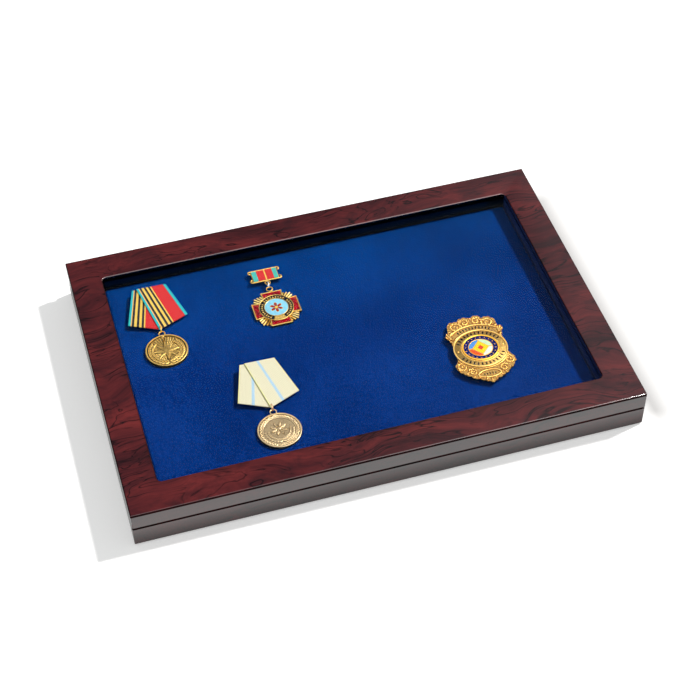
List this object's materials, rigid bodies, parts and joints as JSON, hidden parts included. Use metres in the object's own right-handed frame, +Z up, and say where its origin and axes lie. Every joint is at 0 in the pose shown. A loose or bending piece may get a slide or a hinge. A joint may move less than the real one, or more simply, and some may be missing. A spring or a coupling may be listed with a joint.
{
  "type": "badge display case",
  "caption": "Flat hinged display case with a glazed wood lid over a velvet pad that holds pinned badges and medals.",
  "frame": {"origin": "on the table plane, under the middle of the closed case, at the underside of the felt feet", "axes": "+X along the long side towards the viewer's right, -Y the front edge where the lid opens, +Y the hinged back, +Z up"},
  "size_m": [0.375, 0.254, 0.0328],
  "materials": {
    "lacquered_wood": "dark red-brown high-gloss lacquer over wood grain",
    "board": "plain fibreboard, uncoated",
    "foam": "grey foam sheet",
    "velvet": "deep blue velvet with a short pile",
    "felt": "dark felt",
    "magnet": "nickel-plated",
    "hinge_brass": "polished brass",
    "pane": "clear, polished",
    "retainer": "black gloss lacquer",
    "screw_steel": "black oxide",
    "striped_silk": "ribbed silk, red with turquoise, orange, yellow and black stripes",
    "pale_silk": "ribbed silk, cream with pale yellow edges and a light blue stripe",
    "bar_silk": "ribbed silk, turquoise, red and yellow stripes",
    "pin_brass": "plain brass",
    "gold_medal": "antique gold, polished high points",
    "pale_bronze": "matt pale bronze",
    "gilt": "bright gilt",
    "silver": "bright silver",
    "red_enamel": "crimson glass enamel",
    "pale_enamel": "light blue and black glass enamel",
    "badge_gold": "gold plate over relief",
    "blue_enamel": "dark blue glass enamel in a gold rim"
  },
  "bodies": {
    "base": {"base_frame": "lacquered_wood", "base_board": "board", "pad_board": "board", "foam_core": "foam", "velvet_cover": "velvet", "foot_front_left": "felt", "foot_front_right": "felt", "foot_back_left": "felt", "foot_back_right": "felt", "base_magnets": "magnet", "base_leaf_left": "hinge_brass", "base_leaf_right": "hinge_brass", "hinge_pin_left": "hinge_brass", "hinge_pin_right": "hinge_brass", "base_hinge_screws": "hinge_brass", "striped_ribbon": "striped_silk", "striped_ribbon_mount": "pin_brass", "striped_link": "gold_medal", "pale_ribbon": "pale_silk", "pale_ribbon_mount": "pin_brass", "pale_link": "pale_bronze", "pendant_bar": "gilt", "pendant_bar_ribbon": "bar_silk", "pendant_link": "silver", "badge_shield": "badge_gold", "badge_plaque": "badge_gold", "badge_seal": "blue_enamel", "badge_pins": "pin_brass"},
    "lid": {"lid_frame": "lacquered_wood", "glass_pane": "pane", "glass_retainer": "retainer", "retainer_screws": "screw_steel", "lid_leaf_left": "hinge_brass", "lid_leaf_right": "hinge_brass", "lid_hinge_screws": "hinge_brass", "lid_magnets": "magnet"},
    "striped_medal": {"striped_medal": "gold_medal"},
    "pale_medal": {"pale_medal": "pale_bronze"},
    "pendant": {"pendant_cross": "gilt", "pendant_enamel": "red_enamel", "pendant_centre": "pale_enamel"}
  },
  "joints": [
    {"name": "lid_hinge", "type": "hinge", "parent": "base", "child": "lid", "pos_m": [0, 0.123, 0.018], "axis": [-1, 0, 0], "range_deg": [0, 100]},
    {"name": "striped_medal_lift", "type": "hinge", "parent": "base", "child": "striped_medal", "pos_m": [-0.1303, 0.0455, 0.0227], "axis": [-1, 0, 0], "range_deg": [0, 6]},
    {"name": "pale_medal_lift", "type": "hinge", "parent": "base", "child": "pale_medal", "pos_m": [-0.0699, -0.0533, 0.0227], "axis": [-1, 0, 0], "range_deg": [0, 6]},
    {"name": "pendant_lift", "type": "hinge", "parent": "base", "child": "pendant", "pos_m": [-0.0412, 0.0674, 0.0227], "axis": [-1, 0, 0], "range_deg": [0, 6]}
  ]
}
